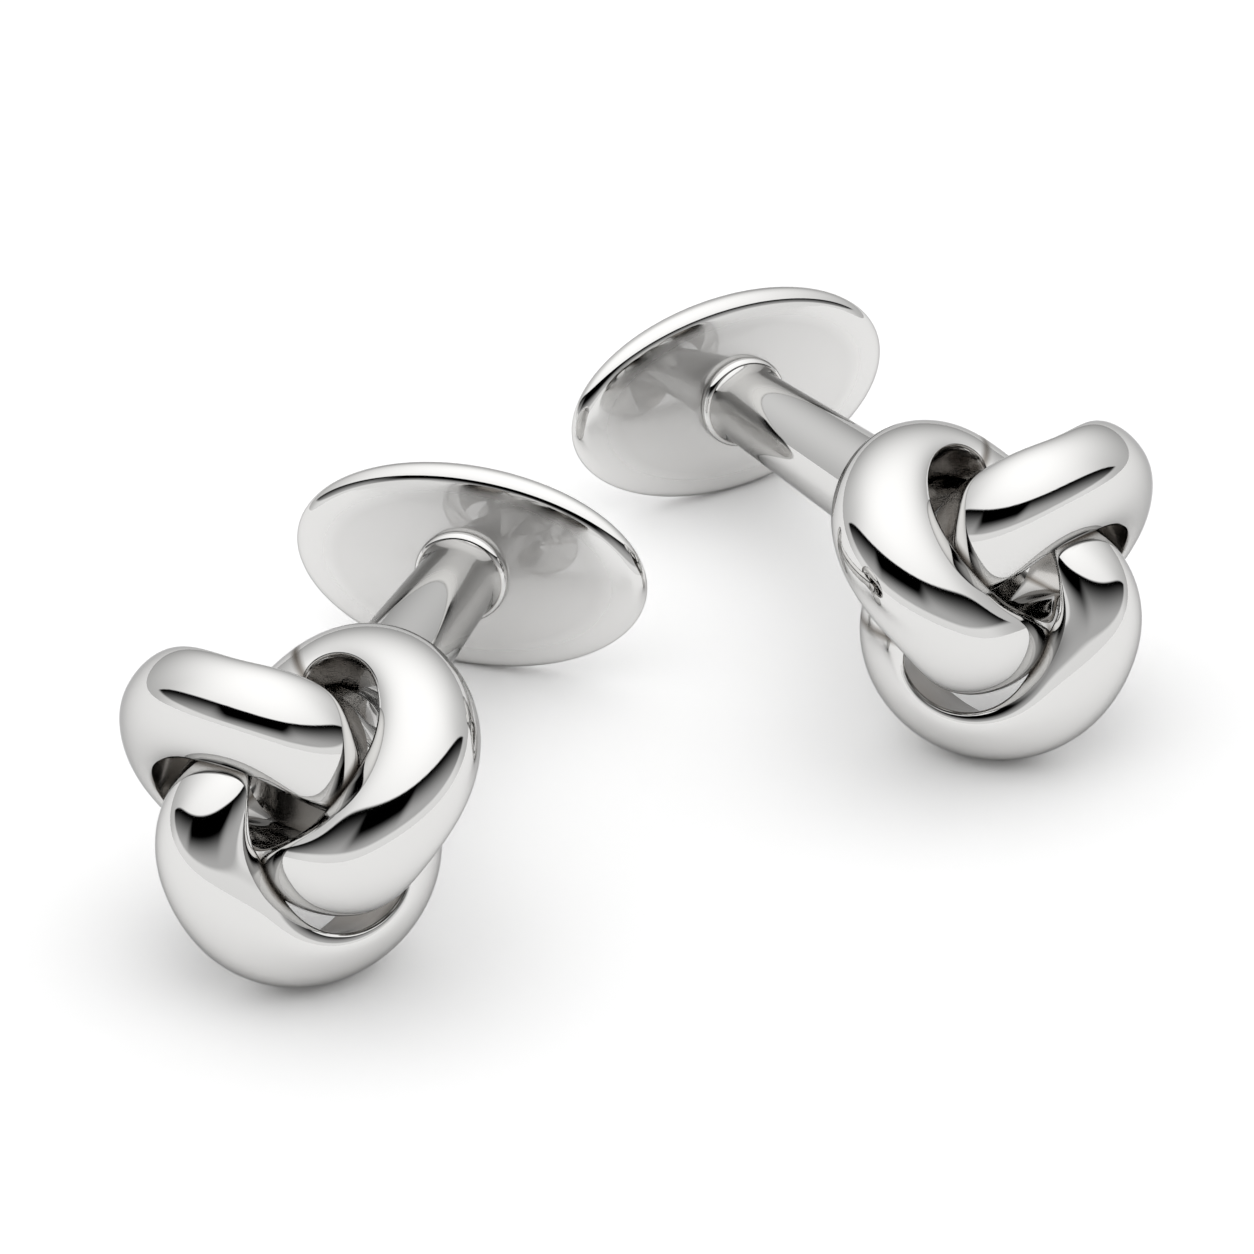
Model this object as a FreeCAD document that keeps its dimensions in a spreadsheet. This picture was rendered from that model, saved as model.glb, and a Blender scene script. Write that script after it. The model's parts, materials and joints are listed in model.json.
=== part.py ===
import FreeCAD, Part
import math
import os

import Sketcher

# A mirrored pair of knot cufflinks with fixed oval backs, lying on a table as a pair.
# Each link is made of three half-round strands that interlace into a trefoil knot, a turned
# post with a tenon, a collar bead and an oval back plate.  Millimetres, +Z up, table at Z = 0.
# A link's own frame: knot centre at the origin, +Z out of the knot's front, +Y up.

DRIVING_SIZES = {
    # the strand's path, by how far it has swung: mean, once round and twice round
    "reach_mean": 3.54,             # distance from the knot's axis
    "reach_out": 1.53,
    "reach_over": 0.21,
    "reach_out_twice": 0.19,
    "reach_over_twice": -0.31,
    "rise_mean": 0.0,               # distance in front of the knot's middle
    "rise_out": -0.5,
    "rise_over": 2.14,
    "rise_out_twice": 0.36,
    "rise_over_twice": 0.1,
    "sweep_mean": -15.1,            # degrees round the axis, beyond an even turn
    "sweep_out": 11.1,
    "sweep_over": -13.0,
    "sweep_out_twice": -1.0,
    "sweep_over_twice": 0.5,
    "face_mean": 35.9,              # degrees by which the crown turns from outwards to the front
    "face_out": -3.3,
    "face_over": 55.3,
    "face_out_twice": 4.6,
    "face_over_twice": 3.6,
    # knot
    "knot_tilt": 7.8,               # degrees by which the knot looks up from the post's axis
    "strand_width": 3.78,           # half-round strand, across its flat side
    "strand_dome": 1.63,            # from the flat side to the crown
    "strand_lip": 0.16,             # radius of the edge between flat side and dome
    # post, collar and back plate
    "plate_distance": 19.20,        # knot centre to the plate's inner face
    "plate_length": 13.30,
    "plate_width": 7.80,
    "plate_thickness": 1.00,
    "rim_rounding": 0.46,
    "collar_radius": 1.76,
    "collar_height": 0.64,
    "shoulder_radius": 1.58,        # post where it stands on the collar
    "neck_radius": 1.47,            # slimmest place of the post
    "neck_distance": 0.60,          # from the shoulder to the slimmest place
    "root_radius": 1.85,            # post where it comes to the knot
    "root_distance": 5.00,          # knot centre to there
    "seat_radius": 2.60,            # head of the post inside the knot, coped to the strands
    "seat_distance": 3.40,          # knot centre to where the head has that radius
    "seat_end": 2.00,               # knot centre to the head's end
    "tenon_radius": 0.80,
    "solder_gap": 0.02,
    # how the pair lies
    "left_turn": -16.3,             # degrees about +Z, from facing -Y
    "right_turn": 29.0,
    "knots_apart_x": 24.49,         # right knot from left knot
    "knots_apart_y": 13.50,
}

STATIONS = 24                       # sections along one strand
CIRCLE_PULL = 0.5523                # pull of a quarter circle's control points
DOME_PULL = 0.49                    # a little slimmer than a true ellipse
LOBES = ("outer", "lower", "inner")
WINDING = {"left": -1, "right": 1}  # seen from the front, +1 is anticlockwise
FIRST_LOBE = {"left": 150.0, "right": 30.0}

doc = FreeCAD.newDocument("cufflinks")
sheet = doc.addObject("Spreadsheet::Sheet", "Sizes")
for row, (alias, number) in enumerate(DRIVING_SIZES.items(), start=1):
    sheet.set(f"A{row}", alias)
    sheet.set(f"B{row}", str(number))
    sheet.setAlias(f"B{row}", alias)
doc.recompute()


class Size:
    """A length with its number and the expression that ties it to the sheet."""

    def __init__(self, number, text):
        self.number = number
        self.text = text

    def __add__(self, other):
        return Size(self.number + other.number, f"({self.text} + {other.text})")

    def __sub__(self, other):
        return Size(self.number - other.number, f"({self.text} - {other.text})")

    def __neg__(self):
        return Size(-self.number, f"(-{self.text})")

    def half(self):
        return Size(self.number / 2, f"({self.text} / 2)")


def size(alias):
    return Size(float(sheet.get(alias)), f"Sizes.{alias}")


NONE = Size(0.0, "0")


def origin_plane(body, role):
    return next(plane for plane in body.Origin.OriginFeatures if plane.Role == role)


def tie(sketch, kind, places, length):
    """Adds one dimension to a sketch and ties it to the sheet."""
    number = sketch.addConstraint(Sketcher.Constraint(kind, *places, length.number))
    sketch.setExpression(f"Constraints[{number}]", length.text)


def turned_body(name, outline, arcs):
    """A body turned about Z from a closed outline of (radius, height) points.

    arcs maps the number of an edge to the end, 0 or 1, where its arc runs along the axis.
    """
    body = doc.addObject("PartDesign::Body", name)
    sketch = body.newObject("Sketcher::SketchObject", name + "_outline")
    sketch.AttachmentSupport = [(origin_plane(body, "XZ_Plane"), "")]
    sketch.MapMode = "FlatFace"
    points = [FreeCAD.Vector(x.number, y.number, 0) for x, y in outline]
    count = len(points)
    first_end = []
    for index, start in enumerate(points):
        end = points[(index + 1) % count]
        if index in arcs:
            sketch.addGeometry(arc_between(start, end, arcs[index]), False)
        else:
            sketch.addGeometry(Part.LineSegment(start, end), False)
        begins = sketch.getPoint(index, 1).distanceToPoint(start) < 1e-6
        first_end.append(1 if begins else 2)
    for index in range(count):
        follower = (index + 1) % count
        joint = (index, 3 - first_end[index], follower, first_end[follower])
        sketch.addConstraint(Sketcher.Constraint("Coincident", *joint))
    for index, (x, y) in enumerate(outline):
        corner = (-1, 1, index, first_end[index])
        tie(sketch, "DistanceX", corner, x)
        tie(sketch, "DistanceY", corner, y)
    for index, level in arcs.items():
        level_end = first_end[index] if level == 0 else 3 - first_end[index]
        sketch.addConstraint(Sketcher.Constraint("Horizontal", index, 3, index, level_end))
    turned = body.newObject("PartDesign::Revolution", name + "_turned")
    turned.Profile = sketch
    turned.ReferenceAxis = (sketch, ["V_Axis"])
    turned.Angle = 360
    return body


def arc_between(start, end, level):
    """The arc from start to end whose centre is level with one of the two."""
    near, far = (start, end) if level == 0 else (end, start)
    step = far - near
    radius = step.Length ** 2 / (2 * step.x)
    centre = near + FreeCAD.Vector(radius, 0, 0)
    halfway = ((start - centre) + (end - centre)).normalize()
    return Part.Arc(start, centre + halfway * abs(radius), end)


def wave(kind, swing):
    """One quality of the strand's path at a swing angle, from its five values on the sheet."""
    mean, out, over, out_twice, over_twice = (
        size(kind + part).number
        for part in ("_mean", "_out", "_over", "_out_twice", "_over_twice")
    )
    once = out * math.cos(swing) + over * math.sin(swing)
    twice = out_twice * math.cos(2 * swing) + over_twice * math.sin(2 * swing)
    return mean + once + twice


def strand_point(turn, winding, first_lobe):
    """Middle of the strand's flat side, and the way its crown faces, at one turn angle."""
    swing = 3 * turn
    sweep = 2 * turn + math.radians(wave("sweep", swing))
    around = winding * sweep + math.radians(first_lobe)
    radial = FreeCAD.Vector(math.cos(around), math.sin(around), 0)
    front = FreeCAD.Vector(0, 0, 1)
    face = math.radians(wave("face", swing))
    middle = radial * wave("reach", swing) + front * wave("rise", swing)
    return middle, radial * math.cos(face) + front * math.sin(face)


def strand_section(turn, winding, first_lobe):
    """Half-round section across the strand: flat side, two lips and a full dome."""
    step = 1e-4
    middle, facing = strand_point(turn, winding, first_lobe)
    ahead = strand_point(turn + step, winding, first_lobe)[0]
    behind = strand_point(turn - step, winding, first_lobe)[0]
    along = (ahead - behind).normalize()
    crown = (facing - along * facing.dot(along)).normalize()
    across = along.cross(crown)
    half = size("strand_width").number / 2
    dome = size("strand_dome").number
    lip = size("strand_lip").number

    def at(sideways, outwards):
        return middle + across * sideways + crown * outwards

    def curve(*poles):
        bend = Part.BezierCurve()
        bend.setPoles([at(*pole) for pole in poles])
        return bend.toShape()

    pull = lip * (1 - CIRCLE_PULL)
    rise = lip + (dome - lip) * DOME_PULL
    return Part.Wire([
        Part.LineSegment(at(lip - half, 0), at(half - lip, 0)).toShape(),
        curve((half - lip, 0), (half - pull, 0), (half, pull), (half, lip)),
        curve((half, lip), (half, rise), (half * DOME_PULL, dome), (0, dome)),
        curve((0, dome), (-half * DOME_PULL, dome), (-half, rise), (-half, lip)),
        curve((-half, lip), (-half, pull), (pull - half, 0), (lip - half, 0)),
    ])


def whole_strand(lobe, winding, first_lobe):
    """One third of the knot: from behind, over the front and behind again."""
    third = 2 * math.pi / 3
    start = lobe * third - math.pi / 6
    turns = [start + third * station / STATIONS for station in range(STATIONS + 1)]
    sections = [strand_section(turn, winding, first_lobe) for turn in turns]
    return Part.makeLoft(sections, True, False)


def knot_strands(link):
    """The three strands, each filed back where it would run into the next one."""
    whole = [whole_strand(lobe, WINDING[link], FIRST_LOBE[link]) for lobe in range(3)]
    middle = FreeCAD.Vector(0, 0, 0)
    for strand in whole:
        strand.rotate(middle, FreeCAD.Vector(1, 0, 0), -size("knot_tilt").number)
    return [whole[lobe].cut(whole[(lobe + 1) % 3]).Solids[0] for lobe in range(3)]


def make_strands(link):
    strands = []
    for lobe, shape in zip(LOBES, knot_strands(link)):
        strand = doc.addObject("Part::Feature", f"{link}_{lobe}_strand")
        strand.Shape = shape
        strands.append(strand)
    return strands


def make_post_blank(link):
    """Turned post: tenon, shoulder, slim neck, a cone that widens to the knot and a head."""
    back = -size("plate_distance") - size("plate_thickness")
    shoulder = size("collar_height") - size("plate_distance")
    neck = shoulder + size("neck_distance")
    root = -size("root_distance")
    seat = -size("seat_distance")
    end = -size("seat_end")
    outline = [
        (NONE, back),
        (size("tenon_radius"), back),
        (size("tenon_radius"), shoulder),
        (size("shoulder_radius"), shoulder),
        (size("neck_radius"), neck),
        (size("root_radius"), root),
        (size("seat_radius"), seat),
        (size("seat_radius"), end),
        (NONE, end),
    ]
    return turned_body(link + "_post_blank", outline, {3: 1})


def cope_post(link, blank, strands):
    """The post's head hollowed to fit between the strands."""
    knot = doc.addObject("Part::Compound", link + "_knot")
    knot.Links = strands
    post = doc.addObject("Part::Cut", link + "_post")
    post.Base = blank
    post.Tool = knot
    return post


def make_collar(link):
    """Ring on the plate with a half-round bead, bored for the tenon."""
    foot = -size("plate_distance")
    top = foot + size("collar_height")
    bead = size("collar_height").half()
    ledge = size("collar_radius") - bead
    bore = size("tenon_radius") + size("solder_gap")
    outline = [
        (bore, foot),
        (ledge, foot),
        (size("collar_radius"), foot + bead),
        (ledge, top),
        (bore, top),
    ]
    return turned_body(link + "_collar", outline, {1: 1, 2: 0})


def make_plate(link):
    """Oval plate with a hole for the post's tenon and a rim rounded on both sides."""
    name = link + "_back_plate"
    body = doc.addObject("PartDesign::Body", name)
    sketch = body.newObject("Sketcher::SketchObject", name + "_outline")
    sketch.AttachmentSupport = [(origin_plane(body, "XY_Plane"), "")]
    sketch.MapMode = "FlatFace"
    back = -size("plate_distance") - size("plate_thickness")
    sketch.setExpression("AttachmentOffset.Base.z", back.text)
    long_half = size("plate_length").half()
    short_half = size("plate_width").half()
    hole = size("tenon_radius") + size("solder_gap")
    centre = FreeCAD.Vector(0, 0, 0)
    end = FreeCAD.Vector(long_half.number, 0, 0)
    side = FreeCAD.Vector(0, short_half.number, 0)
    sketch.addGeometry(Part.Ellipse(end, side, centre), False)
    sketch.exposeInternalGeometry(0)
    sketch.addConstraint(Sketcher.Constraint("Coincident", 0, 3, -1, 1))
    tie(sketch, "DistanceX", (-1, 1, 1, 1), long_half)
    sketch.addConstraint(Sketcher.Constraint("Horizontal", 1))
    tie(sketch, "DistanceY", (-1, 1, 2, 1), short_half)
    ring = sketch.addGeometry(Part.Circle(centre, FreeCAD.Vector(0, 0, 1), hole.number), False)
    sketch.addConstraint(Sketcher.Constraint("Coincident", ring, 3, -1, 1))
    tie(sketch, "Radius", (ring,), hole)
    blank = body.newObject("PartDesign::Pad", name + "_blank")
    blank.Profile = sketch
    blank.setExpression("Length", size("plate_thickness").text)
    doc.recompute()
    rims = []
    for number, edge in enumerate(blank.Shape.Edges, start=1):
        if edge.BoundBox.XLength > size("plate_length").number * 0.9:
            rims.append(f"Edge{number}")
    rim = body.newObject("PartDesign::Fillet", name + "_rim")
    rim.Base = (blank, rims)
    rim.setExpression("Radius", size("rim_rounding").text)
    return body


def lying(turn, pitch):
    """Front of the knot turned to -Y, tipped back by the pitch, then turned about +Z."""
    tip = FreeCAD.Rotation(FreeCAD.Vector(1, 0, 0), 90 - pitch)
    return FreeCAD.Rotation(FreeCAD.Vector(0, 0, 1), turn).multiply(tip)


def surface_points(pieces):
    return [point for piece in pieces for point in piece.Shape.tessellate(0.03)[0]]


def underside(points):
    """The points near the lower side, which are the only ones that can touch the table."""
    bottom = min(point.y for point in points)
    return [point for point in points if point.y < bottom * 0.6]


def lowest(points, turning):
    return min(turning.multVec(point).z for point in points)


def settle(knot_points, plate_points, turn):
    """The turning and height at which both the knot and the plate's rim touch the table."""
    level, steep = 0.0, 30.0
    for halving in range(24):
        pitch = (level + steep) / 2
        turning = lying(turn, pitch)
        if lowest(knot_points, turning) < lowest(plate_points, turning):
            level = pitch
        else:
            steep = pitch
    return turning, -lowest(knot_points + plate_points, turning)


def lay_pair(links):
    """Lays both links on the table, with the middle of the pair over the origin."""
    turning, shift, spread = {}, {}, []
    for link, parts in links.items():
        knot_points = surface_points(parts["strands"])
        plate_points = surface_points([parts["plate"]])
        turn = size(link + "_turn").number
        turning[link], height = settle(underside(knot_points), underside(plate_points), turn)
        shift[link] = FreeCAD.Vector(0, 0, height)
        if link == "right":
            shift[link].x = size("knots_apart_x").number
            shift[link].y = size("knots_apart_y").number
        for point in knot_points + plate_points:
            spread.append(turning[link].multVec(point) + shift[link])
    xs = [point.x for point in spread]
    ys = [point.y for point in spread]
    middle = FreeCAD.Vector((min(xs) + max(xs)) / 2, (min(ys) + max(ys)) / 2, 0)
    for link, parts in links.items():
        for piece in parts["strands"] + [parts["blank"], parts["collar"], parts["plate"]]:
            piece.Placement = FreeCAD.Placement(shift[link] - middle, turning[link])


pair = {}
for link in ("left", "right"):
    pair[link] = {
        "strands": make_strands(link),
        "blank": make_post_blank(link),
        "collar": make_collar(link),
        "plate": make_plate(link),
    }
doc.recompute()
lay_pair(pair)
pieces = []
for link, parts in pair.items():
    post = cope_post(link, parts["blank"], parts["strands"])
    pieces += parts["strands"] + [post, parts["collar"], parts["plate"]]
doc.recompute()

for thing in doc.Objects:
    if "Invalid" in thing.State or "Error" in thing.State:
        raise RuntimeError(f"{thing.Name} did not build: {thing.State}")
os.makedirs("parts", exist_ok=True)
for piece in pieces:
    if piece.Shape.isNull() or not piece.Shape.isValid():
        raise RuntimeError(f"{piece.Label} has no valid shape")
    if len(piece.Shape.Solids) != 1:
        raise RuntimeError(f"{piece.Label} is {len(piece.Shape.Solids)} solids")
    piece.Shape.exportStep(f"parts/{piece.Label}.step")
    print(piece.Label, "volume", round(piece.Shape.Volume, 2))
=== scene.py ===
import json
import math

import bmesh
import bpy
from mathutils import Matrix, Vector
from mathutils.bvhtree import BVHTree


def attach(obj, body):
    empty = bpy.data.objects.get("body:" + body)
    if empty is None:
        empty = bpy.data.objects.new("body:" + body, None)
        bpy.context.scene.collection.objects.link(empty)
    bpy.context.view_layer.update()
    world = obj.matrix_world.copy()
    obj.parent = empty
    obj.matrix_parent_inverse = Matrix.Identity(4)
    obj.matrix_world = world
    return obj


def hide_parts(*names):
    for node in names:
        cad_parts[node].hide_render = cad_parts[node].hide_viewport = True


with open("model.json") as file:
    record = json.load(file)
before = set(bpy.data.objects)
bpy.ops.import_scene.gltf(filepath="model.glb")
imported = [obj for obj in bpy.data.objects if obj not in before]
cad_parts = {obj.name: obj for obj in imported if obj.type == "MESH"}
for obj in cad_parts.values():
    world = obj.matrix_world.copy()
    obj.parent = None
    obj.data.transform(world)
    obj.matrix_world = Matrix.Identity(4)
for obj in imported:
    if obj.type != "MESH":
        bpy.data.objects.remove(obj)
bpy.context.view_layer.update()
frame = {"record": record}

bl_info = {
    "name": "Knot Cufflinks",
    "version": (1, 0, 0),
    "blender": (4, 5, 0),
    "location": "3D View > Sidebar > Cufflinks",
    "description": "Dresses a pair of knot cufflinks in polished silver and lays them on a white table",
    "category": "Object",
}

MM = 0.001
DEGREE = math.pi / 180
LINKS = ("left", "right")
LOBES = ("outer", "lower", "inner")
WINDING = {"left": -1, "right": 1}
FIRST_LOBE = {"left": 150 * DEGREE, "right": 30 * DEGREE}
FRONT = Vector((0, 0, 1))
BODY = "root"

# Curves: pull that follows a circle, part of a strand before its lobe, step that gives the path's direction

CIRCLE_PULL = 0.5523
STRAND_LEAD = 0.25
TURN_STEP = 1e-4

# Fineness of the meshes

STRAND_STATIONS = 200
FLAT_POINTS = 8
LIP_POINTS = 6
DOME_POINTS = 22
ROUND_VERTICES = 160
OVAL_VERTICES = 224
NECK_STEPS = 8
CONE_STEPS = 24
HEAD_STEPS = 24
BEAD_STEPS = 28
RIM_STEPS = 16
FACE_STEPS = 28
STRAND_CREASE = 50 * DEGREE
TURNED_CREASE = 35 * DEGREE

# Scales of the noise patterns per metre, for polishing lines along, across and out of the surface

STRAND_LINES = (900.0, 26000.0, 26000.0)
TURNED_LINES = (1.0, 30000.0, 30000.0)
PLATE_LINES = (1200.0, 24000.0, 24000.0)
LINE_DETAIL = 2.0
CLOUD_SCALE = 380.0
CLOUD_DETAIL = 3.0
GRAIN_SCALE = 9.0
GRAIN_DETAIL = 2.0
GRAIN_DEPTH = 0.01
NOISE_MIDDLE = 0.5

# Light tent, in angles seen from the pair. Its opening is black below the arch, most in its core, then greyer

CLOTH_FADE = (-6 * DEGREE, 80 * DEGREE)
FOOT_FADE = (-0.3, 0.3)
OPENING_FOOT_EDGE = 3 * DEGREE
OPENING_ARCH_EDGE = 2 * DEGREE
CORE_START = (-60 * DEGREE, -46 * DEGREE)
CORE_END = (2 * DEGREE, 22 * DEGREE)
BLACK_DEPTH = 2.5 * DEGREE
CORE_MORE_BLACK = 13 * DEGREE
ROOM_FADE = 26 * DEGREE
CORE_LESS_FADE = 8 * DEGREE

# Table and camera

TABLE_SIZE = 4.0
TABLE_DROP = 0.01 * MM
SENSOR_WIDTH = 36
CLIP_START = 10 * MM


# Sizes and colours that a user would change

def number(name, description, default):
    return bpy.props.FloatProperty(name=name, description=description, default=default)


def length(name, description, default):
    return bpy.props.FloatProperty(
        name=name, description=description, default=default, unit="LENGTH", precision=5)


def share(name, description, default):
    return bpy.props.FloatProperty(
        name=name, description=description, default=default, min=0.0, max=1.0, subtype="FACTOR")


def angle(name, description, default):
    return bpy.props.FloatProperty(
        name=name, description=description, default=default, subtype="ANGLE")


def colour(name, description, default):
    return bpy.props.FloatVectorProperty(
        name=name, description=description, default=default, size=3, min=0.0, max=1.0, subtype="COLOR")


def path_length(name, description, default):
    return bpy.props.FloatVectorProperty(
        name=name, description=description, size=5, unit="LENGTH", precision=5,
        default=[part * MM for part in default])


def path_angle(name, description, default):
    return bpy.props.FloatVectorProperty(
        name=name, description=description, size=5, unit="ROTATION",
        default=[part * DEGREE for part in default])


class KnotSizes(bpy.types.PropertyGroup):
    """The strands' path and section. A path value has a mean, then parts once and twice round."""

    reach: path_length("Reach", "Distance from the knot's axis", (3.54, 1.53, 0.21, 0.19, -0.31))
    rise: path_length("Rise", "Distance in front of the knot's middle", (0.0, -0.5, 2.14, 0.36, 0.1))
    sweep: path_angle("Sweep", "Turn round the axis beyond an even one", (-15.1, 11.1, -13.0, -1.0, 0.5))
    face: path_angle("Face", "Turn of the crown from outwards to the front", (35.9, -3.3, 55.3, 4.6, 3.6))
    tilt: angle("Tilt", "How far the knot looks up from the post's axis", 7.8 * DEGREE)
    width: length("Strand width", "Across the strand's flat side", 3.78 * MM)
    dome: length("Strand dome", "From the flat side to the crown", 1.63 * MM)
    lip: length("Strand lip", "Radius of the edge between flat side and dome", 0.16 * MM)
    fullness: share("Dome fullness", "Pull of the dome's curve", 0.49)
    # Painted shade with some tarnish darkens the strands and the post within this reach of another piece.
    shade_reach: length("Polish reach", "Gap that the polishing wheel can't get into", 0.3 * MM)
    # Painted shade with some tarnish on the strands' flat sides: light within the clean radius, darkest from
    # the toned radius on.
    clean_radius: length("Clean radius", "Within it the flat sides stay bright", 2.6 * MM)
    toned_radius: length("Toned radius", "From it on the flat sides are toned", 4.2 * MM)


class BackSizes(bpy.types.PropertyGroup):
    """Post, collar bead and oval plate, measured along the post from the knot's middle."""

    passage: length("Passage", "Knot's middle to the cuff passage mount", 11.5 * MM)
    plate_distance: length("Plate distance", "Knot's middle to the plate's inner face", 19.2 * MM)
    plate_length: length("Plate length", "Along the oval", 13.3 * MM)
    plate_width: length("Plate width", "Across the oval", 7.8 * MM)
    plate_thickness: length("Plate thickness", "Of the oval plate", 1.0 * MM)
    dome_rise: length("Plate dome", "Rise of the plate's middle above its CAD face", 0.37 * MM)
    dome_long: length("Dome along", "Radius of the dome along the oval", 30 * MM)
    dome_short: length("Dome across", "Radius of the dome across the oval", 16 * MM)
    rim_rounding: length("Rim rounding", "Of the plate's rim, on both sides", 0.46 * MM)
    collar_radius: length("Collar radius", "Of the bead on the plate", 1.76 * MM)
    collar_top: length("Collar top", "Of the bead, above the plate's CAD face", 0.82 * MM)
    # Painted shade with some tarnish darkens the bead within this reach of the post and the plate.
    collar_reach: length("Collar polish reach", "Gap at the bead that stays unpolished", 0.06 * MM)
    shoulder_radius: length("Shoulder radius", "Of the post where it stands on the collar", 1.58 * MM)
    neck_radius: length("Neck radius", "Slimmest place of the post", 1.47 * MM)
    neck_distance: length("Neck distance", "From the shoulder to the slimmest place", 0.6 * MM)
    root_radius: length("Root radius", "Of the post where it comes to the knot", 1.85 * MM)
    root_distance: length("Root distance", "Knot's middle to there", 5.0 * MM)
    flare_start: share("Flare start", "Part of the way from neck to root that is a plain cone", 0.88)
    seat_radius: length("Seat radius", "Of the post's head between the strands", 2.6 * MM)
    seat_distance: length("Seat distance", "Knot's middle to where the head has that radius", 3.4 * MM)
    seat_end: length("Seat end", "Knot's middle to the head's end", 2.0 * MM)
    tenon_radius: length("Tenon radius", "Of the post's end in the plate", 0.8 * MM)
    solder_gap: length("Solder gap", "Around the tenon", 0.02 * MM)


class SilverLook(bpy.types.PropertyGroup):
    """Finish of the silver, with painted shade and some tarnish in its crevices."""

    polished: colour("Polished", "Silver that the wheel has reached", (0.70, 0.695, 0.685))
    # The toned colour is painted shade with some tarnish. The crevices, the strands' flat sides and the parts
    # near other pieces are mixed towards it, and the plates' haze is mixed a little towards it too.
    toned: colour("Toned", "Silver in the crevices, a little tarnished", (0.19, 0.17, 0.15))
    edge: colour("Edge", "Tint of the silver where it turns away", (0.5, 0.5, 0.5))
    gloss: share("Roughness", "Of the polished silver", 0.035)
    cloud_gloss: share("Cloudy roughness", "How far the roughness varies in clouds", 0.02)
    line_gloss: share("Lined roughness", "How far the roughness varies with the polishing lines", 0.012)
    dull: share("Crevice roughness", "Added where the wheel can't reach", 0.2)
    # The crevices' tone is painted shade with some tarnish
    even_tone: share("Even tone", "Part of the crevices' tone that is the same all over", 0.55)
    cloud_tone: share("Cloudy tone", "Part of the crevices' tone that varies in clouds", 0.7)
    # Painted shade with some tarnish on the strands' flat sides, near the axis and out in the loops
    near_shade: share("Near tone", "Of the strands' flat sides near the knot's axis", 0.15)
    far_shade: share("Far tone", "Of the strands' flat sides in the loops", 0.9)
    haze: share("Haze", "Roughness under the clear polish of the plates' faces", 0.42)
    haze_tone: share("Haze tone", "Of the silver under the clear polish", 0.145)
    haze_fade: share("Haze fade", "Part of a plate's face, next to its rim, where the haze sets in", 0.2)
    clear: number("Clear polish", "Refractive index of the sharp layer over the haze", 2.6)
    hairline: length("Hairline depth", "Of the finest polishing lines", 0.0002 * MM)


class StudioLook(bpy.types.PropertyGroup):
    """Table, light and camera."""

    table: colour("Table", "Colour of the white table", (0.985, 0.985, 0.985))
    table_lift: number("Table lift", "How much lighter the table looks than it lights", 1.1)
    aim: bpy.props.FloatVectorProperty(
        name="Aim", description="Where the camera looks on the table",
        size=2, unit="LENGTH", default=(-0.7405 * MM, 5.5968 * MM))
    elevation: angle("Camera elevation", "Above the table", 33.9 * DEGREE)
    distance: length("Camera distance", "From where it looks", 257.9 * MM)
    lens: bpy.props.FloatProperty(
        name="Lens", description="Focal length on a 36 mm sensor", default=200.96, unit="CAMERA")
    tent_high: number("Tent top", "Brightness of the tent overhead", 1.46)
    tent_front: number("Tent front", "Brightness of the tent's foot below the opening", 0.95)
    tent_back: number("Tent back", "Brightness of the tent's foot behind the pair", 0.62)
    room: share("Room", "Brightness of the room seen through the opening", 0.55)
    opening_span: angle("Opening span", "Half the opening's width, seen from the pair", 110 * DEGREE)
    opening_high: angle("Opening top", "Seen from the pair", 43 * DEGREE)
    opening_low: angle("Opening foot", "Seen from the pair", 7 * DEGREE)


class CufflinkSettings(bpy.types.PropertyGroup):
    """All sizes and looks of the pair."""

    knot: bpy.props.PointerProperty(type=KnotSizes)
    back: bpy.props.PointerProperty(type=BackSizes)
    silver: bpy.props.PointerProperty(type=SilverLook)
    studio: bpy.props.PointerProperty(type=StudioLook)


def settings():
    return bpy.context.scene.cufflinks


# Materials

class Value:
    """A node's output socket; sums and products with it add Math nodes."""

    def __init__(self, nodes, socket):
        self.nodes = nodes
        self.socket = socket

    def beside(self, output):
        """Another output of the same node."""
        return Value(self.nodes, self.socket.node.outputs[output])

    def math(self, operation, first, second):
        return self.nodes.add("ShaderNodeMath", {"operation": operation}, {0: first, 1: second})

    def __add__(self, other):
        return self.math("ADD", self, other)

    def __radd__(self, other):
        return self.math("ADD", other, self)

    def __sub__(self, other):
        return self.math("SUBTRACT", self, other)

    def __rsub__(self, other):
        return self.math("SUBTRACT", other, self)

    def __mul__(self, other):
        return self.math("MULTIPLY", self, other)

    def __rmul__(self, other):
        return self.math("MULTIPLY", other, self)


class Nodes:
    """The node tree of a material or a world, emptied and ready to be filled."""

    def __init__(self, owner):
        owner.use_nodes = True
        self.tree = owner.node_tree
        self.tree.nodes.clear()

    def add(self, kind, options, inputs, output=0):
        """One node: its settings first, then the values or links of its sockets."""
        node = self.tree.nodes.new(kind)
        for name, option in options.items():
            setattr(node, name, option)
        for name, value in inputs.items():
            if isinstance(value, Value):
                self.tree.links.new(value.socket, node.inputs[name])
            else:
                node.inputs[name].default_value = value
        return Value(self, node.outputs[output]) if node.outputs else None

    def attribute(self, name, output):
        return self.add("ShaderNodeAttribute", {"attribute_name": name}, {}, output)

    def noise(self, place, scale, detail):
        return self.add("ShaderNodeTexNoise", {}, {"Vector": place, "Scale": scale, "Detail": detail})

    def mix(self, factor, first, second, blend_type="MIX"):
        """A mix of two colours. A Mix node's colours are its sockets 6 and 7, and output 2."""
        return self.add(
            "ShaderNodeMix", {"data_type": "RGBA", "blend_type": blend_type},
            {0: factor, 6: first, 7: second}, 2)


def opaque(rgb):
    return (*rgb, 1.0)


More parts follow.
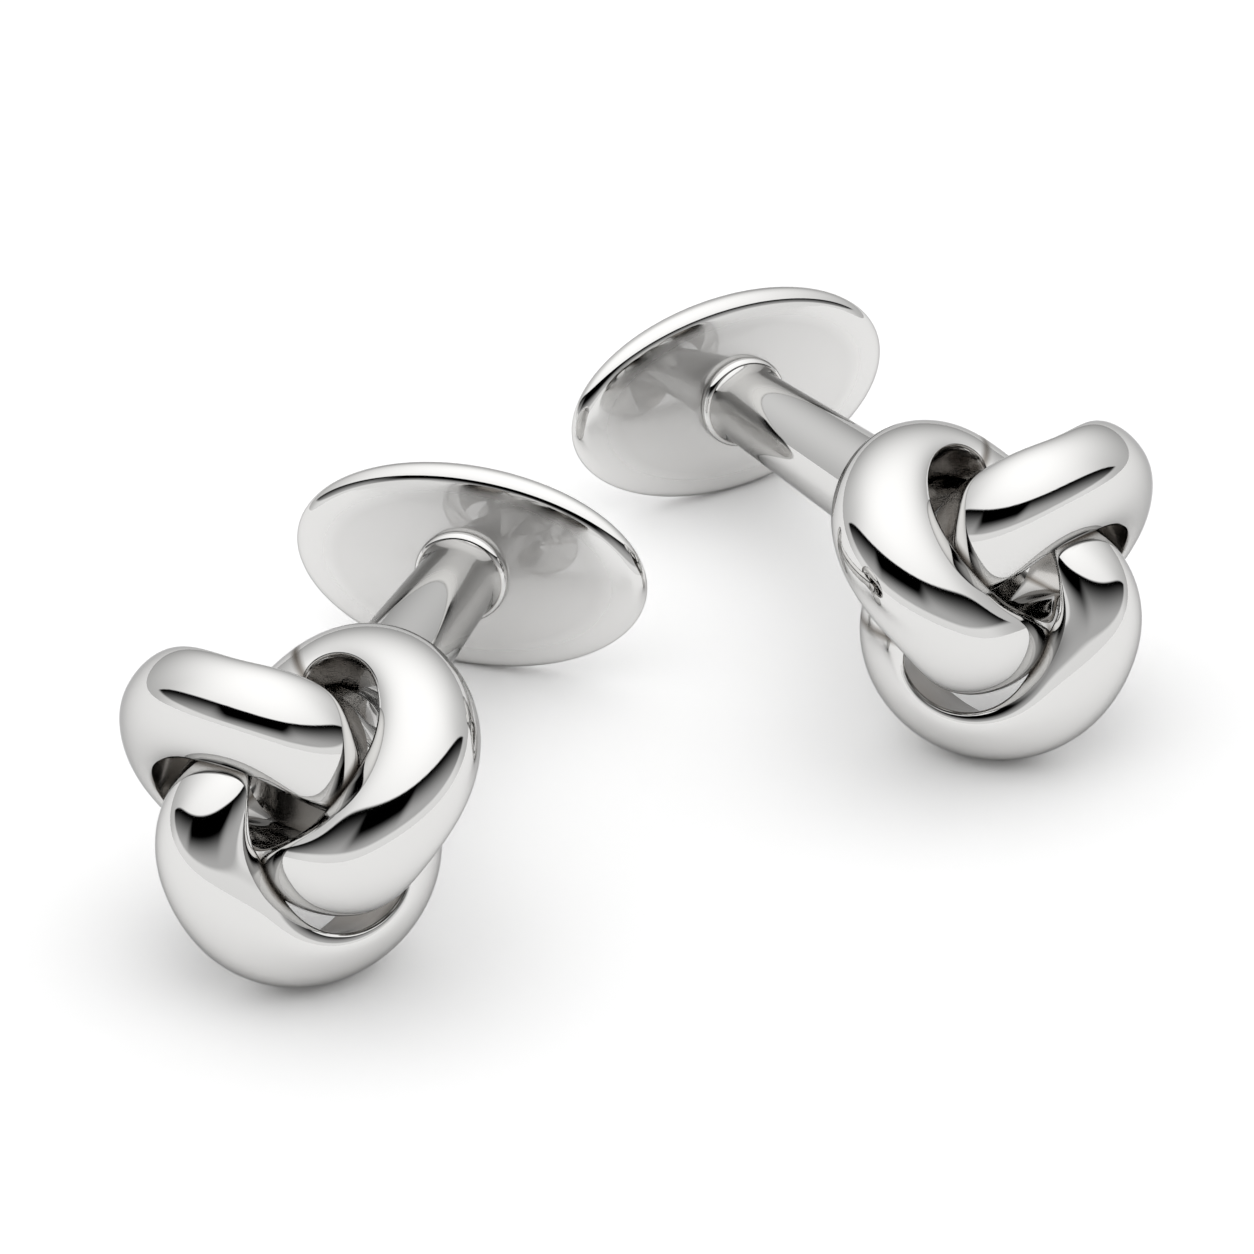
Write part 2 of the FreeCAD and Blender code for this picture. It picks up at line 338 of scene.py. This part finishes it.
def silver(name, lines_per_metre):
    """Polished silver: clear mirror, faint polishing lines, and in the crevices painted shade with some
    tarnish, and dullness.

    lines_per_metre scales the noise of the polishing lines along, across and out of the surface.
    Only a plate has the hazy attribute: a rough layer under a sharp one.
    """
    look = settings().silver
    material = bpy.data.materials.new(name)
    nodes = Nodes(material)
    brush = nodes.attribute("brush", "Vector")
    shade_and_tarnish = nodes.attribute("shade_and_tarnish", "Fac")
    hazy = nodes.attribute("hazy", "Fac")
    place = nodes.add("ShaderNodeTexCoord", {}, {}, "Object")
    stretched = nodes.add("ShaderNodeMapping", {}, {"Vector": brush, "Scale": lines_per_metre})
    lines = nodes.noise(stretched, 1.0, LINE_DETAIL)
    cloud = nodes.noise(place, CLOUD_SCALE, CLOUD_DETAIL)
    # Painted shade with some tarnish: the crevice mark darkens the colour towards the toned one, evenly and
    # in clouds, and makes the silver duller there.
    tone = shade_and_tarnish * (look.even_tone + look.cloud_tone * cloud)
    tint = nodes.mix(tone + look.haze_tone * hazy, opaque(look.polished), opaque(look.toned))
    fine = look.cloud_gloss * (cloud - NOISE_MIDDLE) + look.line_gloss * (lines - NOISE_MIDDLE)
    roughness = look.gloss + fine + look.dull * tone + look.haze * hazy
    relief = nodes.add(
        "ShaderNodeBump", {}, {"Strength": 1.0, "Distance": look.hairline, "Height": lines})
    surface = nodes.add(
        "ShaderNodeBsdfPrincipled", {},
        {"Base Color": tint, "Metallic": 1.0, "Roughness": roughness, "Normal": relief,
         "Specular Tint": opaque(look.edge),
         "Coat Weight": hazy, "Coat Roughness": look.gloss, "Coat IOR": look.clear})
    nodes.add("ShaderNodeOutputMaterial", {}, {"Surface": surface})
    return material


# Work that the pieces share

def clamp(part):
    return min(1.0, max(0.0, part))


def smooth(part):
    """Eases a part from 0 to 1 in and out."""
    return part * part * (3 - 2 * part)


def between(first, second, part):
    """The point that lies a part of the way from one point to another."""
    return tuple(a + (b - a) * part for a, b in zip(first, second))


def mount(name):
    return next(each for each in frame["record"]["mounts"] if each["name"] == name)


def link_place(link):
    """Where a link lies: knot's middle at the origin, +Z out of the knot's front, +Y up."""
    passage = mount(link + "_cuff_passage")
    front = -Vector(passage["axis"]).normalized()
    side = Vector((0, 0, 1)).cross(front).normalized()
    turning = Matrix((side, front.cross(side), front)).transposed().to_4x4()
    middle = Vector(passage["pos_m"]) + front * settings().back.passage
    return Matrix.Translation(middle) @ turning


def deselect_all():
    if bpy.context.mode != "OBJECT":
        bpy.ops.object.mode_set(mode="OBJECT")
    bpy.ops.object.select_all(action="DESELECT")


def take_up(piece):
    """Makes a piece the only selected and the active object."""
    deselect_all()
    piece.select_set(True)
    bpy.context.view_layer.objects.active = piece


def finish_edit(crease):
    """Turns all faces outwards, leaves edit mode and smooths what isn't a crease."""
    bpy.ops.mesh.select_all(action="SELECT")
    bpy.ops.mesh.normals_make_consistent(inside=False)
    bpy.ops.object.mode_set(mode="OBJECT")
    bpy.ops.object.shade_smooth_by_angle(angle=crease)


def lay(piece, link):
    """Puts a piece that was made in its link's own frame where the link lies."""
    take_up(piece)
    piece.matrix_world = link_place(link)
    bpy.ops.object.transform_apply(location=True, rotation=True, scale=True)


def paint(piece, name, kind, values):
    """Keeps one value for each vertex under a name."""
    data = piece.data.attributes.new(name, kind, "POINT").data
    if kind == "FLOAT":
        data.foreach_set("value", values)
    else:
        data.foreach_set("vector", [part for value in values for part in value])


def surface_tree(piece):
    corners = [vertex.co.copy() for vertex in piece.data.vertices]
    return BVHTree.FromPolygons(corners, [face.vertices[:] for face in piece.data.polygons])


def shade_near(piece, others, reach):
    """Darkens a piece with painted shade and some tarnish where another one is near; there the polishing
    wheel can't reach either.
    """
    trees = [surface_tree(other) for other in others]
    for vertex, tone in zip(piece.data.vertices, piece.data.attributes["shade_and_tarnish"].data):
        gap = reach
        for tree in trees:
            found, _, _, distance = tree.find_nearest(vertex.co, reach)
            if found is not None:
                gap = min(gap, distance)
        tone.value = max(tone.value, smooth(1.0 - gap / reach))


def hand_over(piece, node, material):
    """Gives a finished piece its material and lets it stand for its CAD node."""
    piece.data.materials.clear()
    piece.data.materials.append(material)
    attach(piece, BODY)
    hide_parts(node)


# Strands of the knots

def wave(parts, swing):
    """A path value at one place: its mean and its parts once and twice round."""
    mean, out, over, out_twice, over_twice = parts
    once = out * math.cos(swing) + over * math.sin(swing)
    twice = out_twice * math.cos(2 * swing) + over_twice * math.sin(2 * swing)
    return mean + once + twice


def strand_point(link, turn):
    """Middle of the strand's flat side, and the way its crown faces, at one turn angle."""
    knot = settings().knot
    swing = 3 * turn
    around = WINDING[link] * (2 * turn + wave(knot.sweep, swing)) + FIRST_LOBE[link]
    radial = Vector((math.cos(around), math.sin(around), 0))
    face = wave(knot.face, swing)
    middle = radial * wave(knot.reach, swing) + FRONT * wave(knot.rise, swing)
    return middle, radial * math.cos(face) + FRONT * math.sin(face)


def strand_frame(link, turn):
    """Middle of the strand's flat side, with its crown's way and sideways square to the path."""
    middle, facing = strand_point(link, turn)
    ahead = strand_point(link, turn + TURN_STEP)[0]
    behind = strand_point(link, turn - TURN_STEP)[0]
    along = (ahead - behind).normalized()
    crown = (facing - along * facing.dot(along)).normalized()
    return middle, crown, along.cross(crown)


def bezier(start, first, second, end, count):
    """Points along a cubic curve, without its last one."""
    points = []
    for step in range(count):
        t = step / count
        weights = ((1 - t) ** 3, 3 * t * (1 - t) ** 2, 3 * t * t * (1 - t), t ** 3)
        corners = (start, first, second, end)
        points.append(tuple(sum(w * c[k] for w, c in zip(weights, corners)) for k in (0, 1)))
    return points


def strand_outline():
    """The half-round section as (sideways, outwards) points: flat side, lip, dome, lip."""
    knot = settings().knot
    half, dome, lip = knot.width / 2, knot.dome, knot.lip
    pull = lip * (1 - CIRCLE_PULL)
    rise = lip + (dome - lip) * knot.fullness
    crown = half * knot.fullness
    points = []
    for step in range(FLAT_POINTS):
        points.append(((half - lip) * (2 * step / FLAT_POINTS - 1), 0.0))
    points += bezier((half - lip, 0), (half - pull, 0), (half, pull), (half, lip), LIP_POINTS)
    points += bezier((half, lip), (half, rise), (crown, dome), (0, dome), DOME_POINTS)
    points += bezier((0, dome), (-crown, dome), (-half, rise), (-half, lip), DOME_POINTS)
    points += bezier((-half, lip), (-half, pull), (pull - half, 0), (lip - half, 0), LIP_POINTS)
    return points


def strip_faces(count, stations):
    """Faces along a strand with that many points at each station, and of its two ends."""
    faces = [tuple(range(count)), tuple(range(stations * count, (stations + 1) * count))]
    for station in range(stations):
        near = station * count
        far = near + count
        for corner in range(count):
            after = (corner + 1) % count
            faces.append((near + corner, near + after, far + after, far + corner))
    return faces


def make_strand(link, lobe):
    """One third of a knot as a closed mesh in its link's own frame."""
    knot = settings().knot
    look = settings().silver
    third = 2 * math.pi / 3
    start = LOBES.index(lobe) * third - third * STRAND_LEAD
    outline = strand_outline()
    tilting = Matrix.Rotation(-knot.tilt, 3, "X")
    places, brush, shade_and_tarnish = [], [], []
    before = strand_point(link, start)[0]
    run = 0.0
    for station in range(STRAND_STATIONS + 1):
        middle, crown, across = strand_frame(link, start + third * station / STRAND_STATIONS)
        run += (middle - before).length
        before = middle
        # Painted shade with some tarnish on the flat side: light near the knot's axis, darker out in the
        # loops
        out = (middle.to_2d().length - knot.clean_radius) / (knot.toned_radius - knot.clean_radius)
        flat_shade = look.near_shade + (look.far_shade - look.near_shade) * clamp(out)
        for sideways, outwards in outline:
            places.append(tilting @ (middle + across * sideways + crown * outwards))
            brush.append((run, sideways, outwards))
            # The painted shade ends half-way up the lip
            shade_and_tarnish.append(flat_shade * clamp(1.0 - 2 * outwards / knot.lip))
    name = f"{link}_{lobe}_band"
    mesh = bpy.data.meshes.new(name)
    mesh.from_pydata(places, [], strip_faces(len(outline), STRAND_STATIONS))
    band = bpy.data.objects.new(name, mesh)
    bpy.context.scene.collection.objects.link(band)
    paint(band, "brush", "FLOAT_VECTOR", brush)
    paint(band, "shade_and_tarnish", "FLOAT", shade_and_tarnish)
    take_up(band)
    bpy.ops.object.mode_set(mode="EDIT")
    finish_edit(STRAND_CREASE)
    return band


class CUFFLINKS_OT_strands(bpy.types.Operator):
    """Makes the three interlaced strands of each knot"""

    bl_idname = "cufflinks.strands"
    bl_label = "Knot strands"

    def execute(self, context):
        material = silver("strand_silver", STRAND_LINES)
        reach = settings().knot.shade_reach
        for link in LINKS:
            bands = [make_strand(link, lobe) for lobe in LOBES]
            for band in bands:
                # Painted shade with some tarnish where the strands come near each other
                shade_near(band, [other for other in bands if other is not band], reach)
            for lobe, band in zip(LOBES, bands):
                lay(band, link)
                hand_over(band, f"{link}_{lobe}_strand", material)
        return {"FINISHED"}


# Posts, collars and plates

def start_ring(name, radius, height, vertices):
    """A circle about Z as the start of a piece, left in edit mode with all of it selected."""
    deselect_all()
    bpy.ops.mesh.primitive_circle_add(vertices=vertices, radius=radius, location=(0, 0, height))
    piece = bpy.context.object
    piece.name = name
    piece.data.name = name
    bpy.ops.object.transform_apply(location=True)
    bpy.ops.object.mode_set(mode="EDIT")
    bpy.ops.mesh.select_all(action="SELECT")
    return piece


def draw_out(rings):
    """Draws the selected ring out through rings of (half length, half width, height).

    The first ring is the selected one itself.
    """
    for (long, wide, height), (next_long, next_wide, next_height) in zip(rings, rings[1:]):
        rise = (0, 0, next_height - height)
        bpy.ops.mesh.extrude_region_move(TRANSFORM_OT_translate={"value": rise})
        bpy.ops.transform.resize(
            value=(next_long / long, next_wide / wide, 1), center_override=(0, 0, next_height))


def round_rings(outline):
    """Rings of a turned piece from its outline of (radius, height)."""
    return [(radius, radius, height) for radius, height in outline]


def close_bore(piece, bore):
    """Joins the two ends of a bored piece along its bore, in edit mode."""
    slack = settings().back.solder_gap / 2
    bpy.ops.mesh.select_mode(type="VERT")
    bpy.ops.mesh.select_all(action="DESELECT")
    mesh = bmesh.from_edit_mesh(piece.data)
    for vertex in mesh.verts:
        if math.hypot(vertex.co.x, vertex.co.y) < bore + slack:
            vertex.select_set(True)
    mesh.select_flush_mode()
    bmesh.update_edit_mesh(piece.data)
    bpy.ops.mesh.bridge_edge_loops()


def pair_up(piece, stem):
    """The piece for the left link and a copy of it, with its own mesh, for the right one."""
    take_up(piece)
    bpy.ops.object.duplicate()
    copy = bpy.context.object
    pair = dict(zip(LINKS, (piece, copy)))
    for link, each in pair.items():
        each.name = f"{link}_{stem}"
        each.data.name = each.name
    return pair


def paint_turned(piece):
    """Polishing lines of a turned piece run round it, so they change along Z and with the radius."""
    points = [vertex.co for vertex in piece.data.vertices]
    paint(piece, "brush", "FLOAT_VECTOR", [(0.0, p.z, math.hypot(p.x, p.y)) for p in points])
    paint(piece, "shade_and_tarnish", "FLOAT", [0.0] * len(points))


def post_rings():
    """The post's outline from its tenon to its head, as (radius, height)."""
    back = settings().back
    shoulder = back.collar_top - back.plate_distance
    neck = (back.neck_radius, shoulder + back.neck_distance)
    root = (back.root_radius, -back.root_distance)
    seat = (back.seat_radius, -back.seat_distance)
    rings = [(back.tenon_radius, -back.plate_distance - back.plate_thickness),
             (back.tenon_radius, shoulder)]
    step = back.shoulder_radius - back.neck_radius
    bend = (step ** 2 + back.neck_distance ** 2) / (2 * step)
    for count in range(NECK_STEPS):
        height = shoulder + back.neck_distance * count / NECK_STEPS
        hollow = bend - math.sqrt(bend ** 2 - (neck[1] - height) ** 2)
        rings.append((back.neck_radius + hollow, height))
    flare = between(neck, root, back.flare_start)
    for count in range(CONE_STEPS):
        rings.append(between(neck, flare, count / CONE_STEPS))
    for count in range(HEAD_STEPS + 1):
        part = count / HEAD_STEPS
        rings.append(between(between(flare, root, part), between(root, seat, part), part))
    rings.append((back.seat_radius, -back.seat_end))
    return rings


def make_stem():
    """Turned post: tenon, shoulder, slim neck, a long cone and a head between the strands."""
    rings = post_rings()
    stem = start_ring("stem", *rings[0], ROUND_VERTICES)
    bpy.ops.mesh.edge_face_add()
    draw_out(round_rings(rings))
    finish_edit(TURNED_CREASE)
    paint_turned(stem)
    return stem


def make_bead():
    """Collar: a half-round ring on the plate's dome, bored for the tenon."""
    back = settings().back
    foot = back.dome_rise - back.collar_radius ** 2 / (2 * back.dome_short) - back.plate_distance
    top = back.collar_top - back.plate_distance
    half = (top - foot) / 2
    ledge = back.collar_radius - half
    bore = back.tenon_radius + back.solder_gap
    rings = [(bore, foot)]
    for count in range(BEAD_STEPS + 1):
        turn = math.pi * count / BEAD_STEPS
        rings.append((ledge + half * math.sin(turn), foot + half * (1 - math.cos(turn))))
    rings.append((bore, top))
    bead = start_ring("bead", *rings[0], ROUND_VERTICES)
    draw_out(round_rings(rings))
    close_bore(bead, bore)
    finish_edit(TURNED_CREASE)
    paint_turned(bead)
    return bead


def oval_rings():
    """Rings of the plate: back face from the hole out, rounded rim, inner face back to the hole."""
    back = settings().back
    low = -back.plate_distance - back.plate_thickness
    top = -back.plate_distance
    long_half, short_half = back.plate_length / 2, back.plate_width / 2
    hole = back.tenon_radius + back.solder_gap
    rounding = back.rim_rounding

    def inside_rim(inset, height):
        return (long_half - inset, short_half - inset, height)

    def across_face(part, height):
        return between((hole, hole, height), inside_rim(rounding, height), part)

    rings = [across_face(count / FACE_STEPS, low) for count in range(FACE_STEPS)]
    turns = [math.pi / 2 * count / RIM_STEPS for count in range(RIM_STEPS + 1)]
    for turn in turns:
        rings.append(inside_rim(rounding * (1 - math.sin(turn)), low + rounding * (1 - math.cos(turn))))
    for turn in turns:
        rings.append(inside_rim(rounding * (1 - math.cos(turn)), top - rounding * (1 - math.sin(turn))))
    rings += [across_face(1 - count / FACE_STEPS, top) for count in range(1, FACE_STEPS + 1)]
    return rings


def make_oval():
    """Oval plate with a hole for the tenon, a rounded rim and an inner face that is a shallow dome."""
    back = settings().back
    rings = oval_rings()
    hole, _, low = rings[0]
    oval = start_ring("oval", hole, low, OVAL_VERTICES)
    draw_out(rings)
    close_bore(oval, hole)
    finish_edit(TURNED_CREASE)
    flat_long = back.plate_length / 2 - back.rim_rounding
    flat_short = back.plate_width / 2 - back.rim_rounding
    hazy = []
    for vertex in oval.data.vertices:
        x, y, z = vertex.co
        inside = 1.0 - math.hypot(x / flat_long, y / flat_short)
        hazy.append(clamp(inside / settings().silver.haze_fade))
        rise = back.dome_rise - x * x / (2 * back.dome_long) - y * y / (2 * back.dome_short)
        vertex.co.z += rise * (z - low) / back.plate_thickness
    paint(oval, "brush", "FLOAT_VECTOR", [vertex.co[:] for vertex in oval.data.vertices])
    paint(oval, "shade_and_tarnish", "FLOAT", [0.0] * len(oval.data.vertices))
    paint(oval, "hazy", "FLOAT", hazy)
    return oval


class CUFFLINKS_OT_posts(bpy.types.Operator):
    """Turns the post of each link"""

    bl_idname = "cufflinks.posts"
    bl_label = "Posts"

    def execute(self, context):
        material = silver("turned_silver", TURNED_LINES)
        for link, stem in pair_up(make_stem(), "stem").items():
            lay(stem, link)
            bands = [bpy.data.objects[f"{link}_{lobe}_band"] for lobe in LOBES]
            # Painted shade with some tarnish where the post comes near the strands
            shade_near(stem, bands, settings().knot.shade_reach)
            hand_over(stem, link + "_post", material)
        return {"FINISHED"}


class CUFFLINKS_OT_plates(bpy.types.Operator):
    """Makes the oval plate at the back of each link"""

    bl_idname = "cufflinks.plates"
    bl_label = "Back plates"

    def execute(self, context):
        material = silver("plate_silver", PLATE_LINES)
        for link, oval in pair_up(make_oval(), "oval").items():
            lay(oval, link)
            hand_over(oval, link + "_back_plate", material)
        return {"FINISHED"}


class CUFFLINKS_OT_collars(bpy.types.Operator):
    """Turns the bead between each post and its plate"""

    bl_idname = "cufflinks.collars"
    bl_label = "Collar beads"

    def execute(self, context):
        material = silver("bead_silver", TURNED_LINES)
        for link, bead in pair_up(make_bead(), "bead").items():
            lay(bead, link)
            neighbours = [bpy.data.objects[f"{link}_{each}"] for each in ("stem", "oval")]
            # Painted shade with some tarnish where the bead meets the post and the plate
            shade_near(bead, neighbours, settings().back.collar_reach)
            hand_over(bead, link + "_collar", material)
        return {"FINISHED"}


# Table, light and camera

def table_material():
    """White table. What looks at it, straight or by a mirror or glass, sees it a little lighter."""
    studio = settings().studio
    material = bpy.data.materials.new("white_table")
    nodes = Nodes(material)
    place = nodes.add("ShaderNodeTexCoord", {}, {}, "Object")
    grain = nodes.noise(place, GRAIN_SCALE, GRAIN_DETAIL)
    ray = nodes.add("ShaderNodeLightPath", {}, {}, "Is Camera Ray")
    seen = ray + ray.beside("Is Glossy Ray") + ray.beside("Is Transmission Ray")
    lift = nodes.add("ShaderNodeMath", {"operation": "MINIMUM"}, {0: seen, 1: 1.0})
    lighter = [part * studio.table_lift for part in studio.table]
    white = nodes.mix(lift, opaque(studio.table), opaque(lighter))
    tint = nodes.mix(GRAIN_DEPTH * grain, white, opaque((0.0, 0.0, 0.0)), "MULTIPLY")
    surface = nodes.add("ShaderNodeBsdfDiffuse", {}, {"Color": tint})
    nodes.add("ShaderNodeOutputMaterial", {}, {"Surface": surface})
    return material


def blend(value, start, end):
    """Rises smoothly from 0 at one value to 1 at another."""
    return value.nodes.add(
        "ShaderNodeMapRange", {"interpolation_type": "SMOOTHSTEP"},
        {"Value": value, "From Min": start, "From Max": end})


def light_tent():
    """White tent all round, with a dark arched opening on the camera's side."""
    studio = settings().studio
    world = bpy.data.worlds.new("light_tent")
    bpy.context.scene.world = world
    nodes = Nodes(world)
    way = nodes.add("ShaderNodeTexCoord", {}, {}, "Generated")
    side = nodes.add("ShaderNodeSeparateXYZ", {}, {"Vector": way}, "X")
    nearer = 0 - side.beside("Y")
    turn = nodes.add("ShaderNodeMath", {"operation": "ARCTAN2"}, {0: side, 1: nearer})
    rise = nodes.add("ShaderNodeMath", {"operation": "ARCSINE"}, {0: side.beside("Z")})
    part = turn * (1 / studio.opening_span)
    bow = nodes.add(
        "ShaderNodeMath", {"operation": "SUBTRACT", "use_clamp": True}, {0: 1.0, 1: part * part})
    arch = nodes.add("ShaderNodeMath", {"operation": "SQRT"}, {0: bow}) * studio.opening_high
    depth = arch - rise
    above_foot = blend(rise, studio.opening_low, studio.opening_low + OPENING_FOOT_EDGE)
    opening = above_foot * blend(depth, 0.0, OPENING_ARCH_EDGE)
    core = blend(turn, *CORE_START) * (1 - blend(turn, *CORE_END))
    black = BLACK_DEPTH + core * CORE_MORE_BLACK
    room = studio.room * blend(depth, black, black + ROOM_FADE - core * CORE_LESS_FADE)
    foot = studio.tent_back + (studio.tent_front - studio.tent_back) * blend(nearer, *FOOT_FADE)
    cloth = foot + (studio.tent_high - foot) * blend(rise, *CLOTH_FADE)
    glow = cloth + opening * (room - cloth)
    sky = nodes.add("ShaderNodeBackground", {}, {"Color": opaque((1, 1, 1)), "Strength": glow})
    nodes.add("ShaderNodeOutputWorld", {}, {"Surface": sky})


class CUFFLINKS_OT_stage(bpy.types.Operator):
    """Sets the table, the light tent and the camera"""

    bl_idname = "cufflinks.stage"
    bl_label = "Stage"

    def execute(self, context):
        studio = settings().studio
        deselect_all()
        bpy.ops.mesh.primitive_plane_add(size=TABLE_SIZE, location=(0, 0, -TABLE_DROP))
        table = context.object
        table.name = "table"
        table.data.materials.append(table_material())

        light_tent()

        target = Vector((*studio.aim, 0.0))
        away = Vector((0, -math.cos(studio.elevation), math.sin(studio.elevation)))
        deselect_all()
        bpy.ops.object.camera_add(
            location=target + away * studio.distance,
            rotation=(math.pi / 2 - studio.elevation, 0, 0))
        camera = context.object
        camera.data.lens = studio.lens
        camera.data.sensor_width = SENSOR_WIDTH
        camera.data.clip_start = CLIP_START
        context.scene.camera = camera
        context.scene.view_settings.view_transform = "Standard"
        return {"FINISHED"}


OPERATORS = (
    CUFFLINKS_OT_strands,
    CUFFLINKS_OT_posts,
    CUFFLINKS_OT_plates,
    CUFFLINKS_OT_collars,
    CUFFLINKS_OT_stage,
)


class CUFFLINKS_PT_panel(bpy.types.Panel):
    """Lists the pieces and the stage"""

    bl_label = "Cufflinks"
    bl_space_type = "VIEW_3D"
    bl_region_type = "UI"
    bl_category = "Cufflinks"

    def draw(self, context):
        for operator in OPERATORS:
            self.layout.operator(operator.bl_idname)


CLASSES = (
    KnotSizes, BackSizes, SilverLook, StudioLook, CufflinkSettings, *OPERATORS, CUFFLINKS_PT_panel)


def register():
    for each in CLASSES:
        bpy.utils.register_class(each)
    bpy.types.Scene.cufflinks = bpy.props.PointerProperty(type=CufflinkSettings)


def unregister():
    del bpy.types.Scene.cufflinks
    for each in reversed(CLASSES):
        bpy.utils.unregister_class(each)


def main():
    register()
    bpy.ops.cufflinks.strands()
    bpy.ops.cufflinks.posts()
    bpy.ops.cufflinks.plates()
    bpy.ops.cufflinks.collars()
    bpy.ops.cufflinks.stage()


if __name__ == "__main__":
    main()
